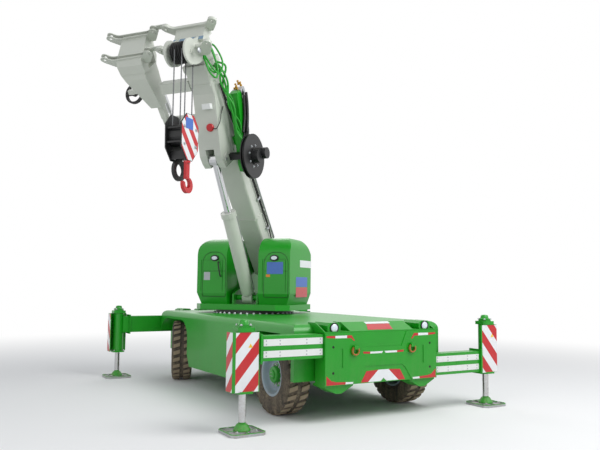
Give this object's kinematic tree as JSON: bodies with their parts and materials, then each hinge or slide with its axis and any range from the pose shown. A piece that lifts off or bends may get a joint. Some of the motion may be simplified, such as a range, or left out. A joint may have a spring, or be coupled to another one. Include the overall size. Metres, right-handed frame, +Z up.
{
  "type": "mobile crane",
  "caption": "Compact pick-and-carry mobile crane with slewing turret, luffing telescopic boom, folded side jib, hook block, steered far axle and sliding outriggers on pads",
  "frame": {"origin": "on the ground, in the middle of the crane's whole outline as it stands; the chassis centre line is 0.359 m towards +X", "axes": "+Z up; the chassis runs along Y and its lamp end faces -Y; +X to the right of a viewer who faces that end; the boom stands turned 54 degrees from -Y towards -X"},
  "size_m": [4.9614, 5.51, 5.5554],
  "materials": {
    "body_green": "gloss paint",
    "boom_grey": "satin paint",
    "frame_black": "satin paint",
    "hook_red": "gloss paint",
    "chrome_rod": "polished",
    "steel": "galvanised",
    "tyre": "dusty rubber",
    "rim_blue": "satin paint",
    "battery": "matt"
  },
  "bodies": {
    "chassis": {"chassis": "body_green", "deck": "body_green", "beam_boxes": "body_green", "end_plate_near": "body_green", "end_plate_far": "body_green", "axle_near": "frame_black", "axle_far": "frame_black", "power_pack": "battery", "slew_ring": "frame_black"},
    "turret": {"turret_base": "body_green", "pod_left": "body_green", "pod_right": "body_green", "boom_frame": "body_green"},
    "luff_barrel": {"luff_barrel": "boom_grey"},
    "luff_rod": {"luff_rod": "chrome_rod"},
    "boom": {"boom_base": "boom_grey", "hose_reel": "frame_black", "hose_duct": "body_green"},
    "boom_mid": {"boom_mid": "boom_grey"},
    "boom_head": {"boom_head": "boom_grey", "head_sheaves": "frame_black", "jib_frame": "boom_grey", "jib_sheave": "frame_black", "jib_ram": "chrome_rod"},
    "hook_block": {"hook_block": "frame_black", "hoist_rope": "steel"},
    "hook": {"hook": "hook_red"},
    "knuckle_left": {"knuckle_left": "frame_black"},
    "knuckle_right": {"knuckle_right": "frame_black"},
    "wheel_near_left": {"tyre_near_left": "tyre", "rim_near_left": "rim_blue"},
    "beam_near_left": {"beam_near_left": "body_green"},
    "leg_near_left": {"leg_near_left": "steel"},
    "wheel_near_right": {"tyre_near_right": "tyre", "rim_near_right": "rim_blue"},
    "beam_near_right": {"beam_near_right": "body_green"},
    "leg_near_right": {"leg_near_right": "steel"},
    "wheel_far_left": {"tyre_far_left": "tyre", "rim_far_left": "rim_blue"},
    "beam_far_left": {"beam_far_left": "body_green"},
    "leg_far_left": {"leg_far_left": "steel"},
    "wheel_far_right": {"tyre_far_right": "tyre", "rim_far_right": "rim_blue"},
    "beam_far_right": {"beam_far_right": "body_green"},
    "leg_far_right": {"leg_far_right": "steel"}
  },
  "joints": [
    {"name": "slew", "type": "hinge", "parent": "chassis", "child": "turret", "pos_m": [0.359, 0.97, 0], "axis": [0, 0, 1], "continuous": true},
    {"name": "luff", "type": "hinge", "parent": "turret", "child": "boom", "pos_m": [0.68261, 1.20511, 2.17], "axis": [-0.5878, 0.809, 0], "range_deg": [-43, 24]},
    {"name": "luff_barrel_swing", "type": "hinge", "parent": "turret", "child": "luff_barrel", "pos_m": [0.21338, 0.8642, 1.44], "axis": [-0.5878, 0.809, 0], "range_deg": [-40.06, 22.58]},
    {"name": "luff_rod_slide", "type": "slide", "parent": "luff_barrel", "child": "luff_rod", "axis": [-0.4008, -0.2912, 0.8687], "range_m": [-0.6567, 0.3678]},
    {"name": "telescope_mid", "type": "slide", "parent": "boom", "child": "boom_mid", "axis": [-0.5091, -0.3699, 0.7771], "range_m": [0, 2.7]},
    {"name": "telescope_head", "type": "slide", "parent": "boom_mid", "child": "boom_head", "axis": [-0.5091, -0.3699, 0.7771], "range_m": [0, 2.7]},
    {"name": "hook_hang", "type": "hinge", "parent": "boom_head", "child": "hook_block", "pos_m": [-1.58979, -0.50768, 5.0002], "axis": [-0.5878, 0.809, 0], "range_deg": [-24.5, 43.5]},
    {"name": "hook_swivel", "type": "hinge", "parent": "hook_block", "child": "hook", "pos_m": [-1.53218, -0.58696, 3.3992], "axis": [0, 0, 1], "continuous": true},
    {"name": "steer_left", "type": "hinge", "parent": "chassis", "child": "knuckle_left", "pos_m": [-0.381, 1.76, 0.505], "axis": [0, 0, 1], "range_deg": [-4, 46]},
    {"name": "steer_right", "type": "hinge", "parent": "chassis", "child": "knuckle_right", "pos_m": [1.099, 1.76, 0.505], "axis": [0, 0, 1], "range_deg": [-4, 46]},
    {"name": "roll_near_left", "type": "hinge", "parent": "chassis", "child": "wheel_near_left", "pos_m": [-0.619, -1.76, 0.505], "axis": [1, 0, 0], "continuous": true},
    {"name": "roll_near_right", "type": "hinge", "parent": "chassis", "child": "wheel_near_right", "pos_m": [1.337, -1.76, 0.505], "axis": [1, 0, 0], "continuous": true},
    {"name": "roll_far_left", "type": "hinge", "parent": "knuckle_left", "child": "wheel_far_left", "pos_m": [-0.60319, 1.84529, 0.505], "axis": [0.9336, -0.3584, 0], "continuous": true},
    {"name": "roll_far_right", "type": "hinge", "parent": "knuckle_right", "child": "wheel_far_right", "pos_m": [1.32119, 1.67471, 0.505], "axis": [0.9336, -0.3584, 0], "continuous": true},
    {"name": "beam_slide_near_left", "type": "slide", "parent": "chassis", "child": "beam_near_left", "axis": [1, 0, 0], "range_m": [0, 0.83]},
    {"name": "leg_slide_near_left", "type": "slide", "parent": "beam_near_left", "child": "leg_near_left", "axis": [0, 0, 1], "range_m": [0, 0.3]},
    {"name": "beam_slide_near_right", "type": "slide", "parent": "chassis", "child": "beam_near_right", "axis": [-1, 0, 0], "range_m": [0, 0.83]},
    {"name": "leg_slide_near_right", "type": "slide", "parent": "beam_near_right", "child": "leg_near_right", "axis": [0, 0, 1], "range_m": [0, 0.3]},
    {"name": "beam_slide_far_left", "type": "slide", "parent": "chassis", "child": "beam_far_left", "axis": [1, 0, 0], "range_m": [0, 0.83]},
    {"name": "leg_slide_far_left", "type": "slide", "parent": "beam_far_left", "child": "leg_far_left", "axis": [0, 0, 1], "range_m": [0, 0.3]},
    {"name": "beam_slide_far_right", "type": "slide", "parent": "chassis", "child": "beam_far_right", "axis": [-1, 0, 0], "range_m": [0, 0.83]},
    {"name": "leg_slide_far_right", "type": "slide", "parent": "beam_far_right", "child": "leg_far_right", "axis": [0, 0, 1], "range_m": [0, 0.3]}
  ],
  "couplings": [
    {"joint": "luff_barrel_swing", "follows": "luff", "ratio": 0.92},
    {"joint": "luff_rod_slide", "follows": "luff", "m_per_rad": 0.871},
    {"joint": "hook_hang", "follows": "luff", "ratio": -1},
    {"joint": "telescope_head", "follows": "telescope_mid", "ratio": 1},
    {"joint": "steer_right", "follows": "steer_left", "ratio": 1}
  ]
}
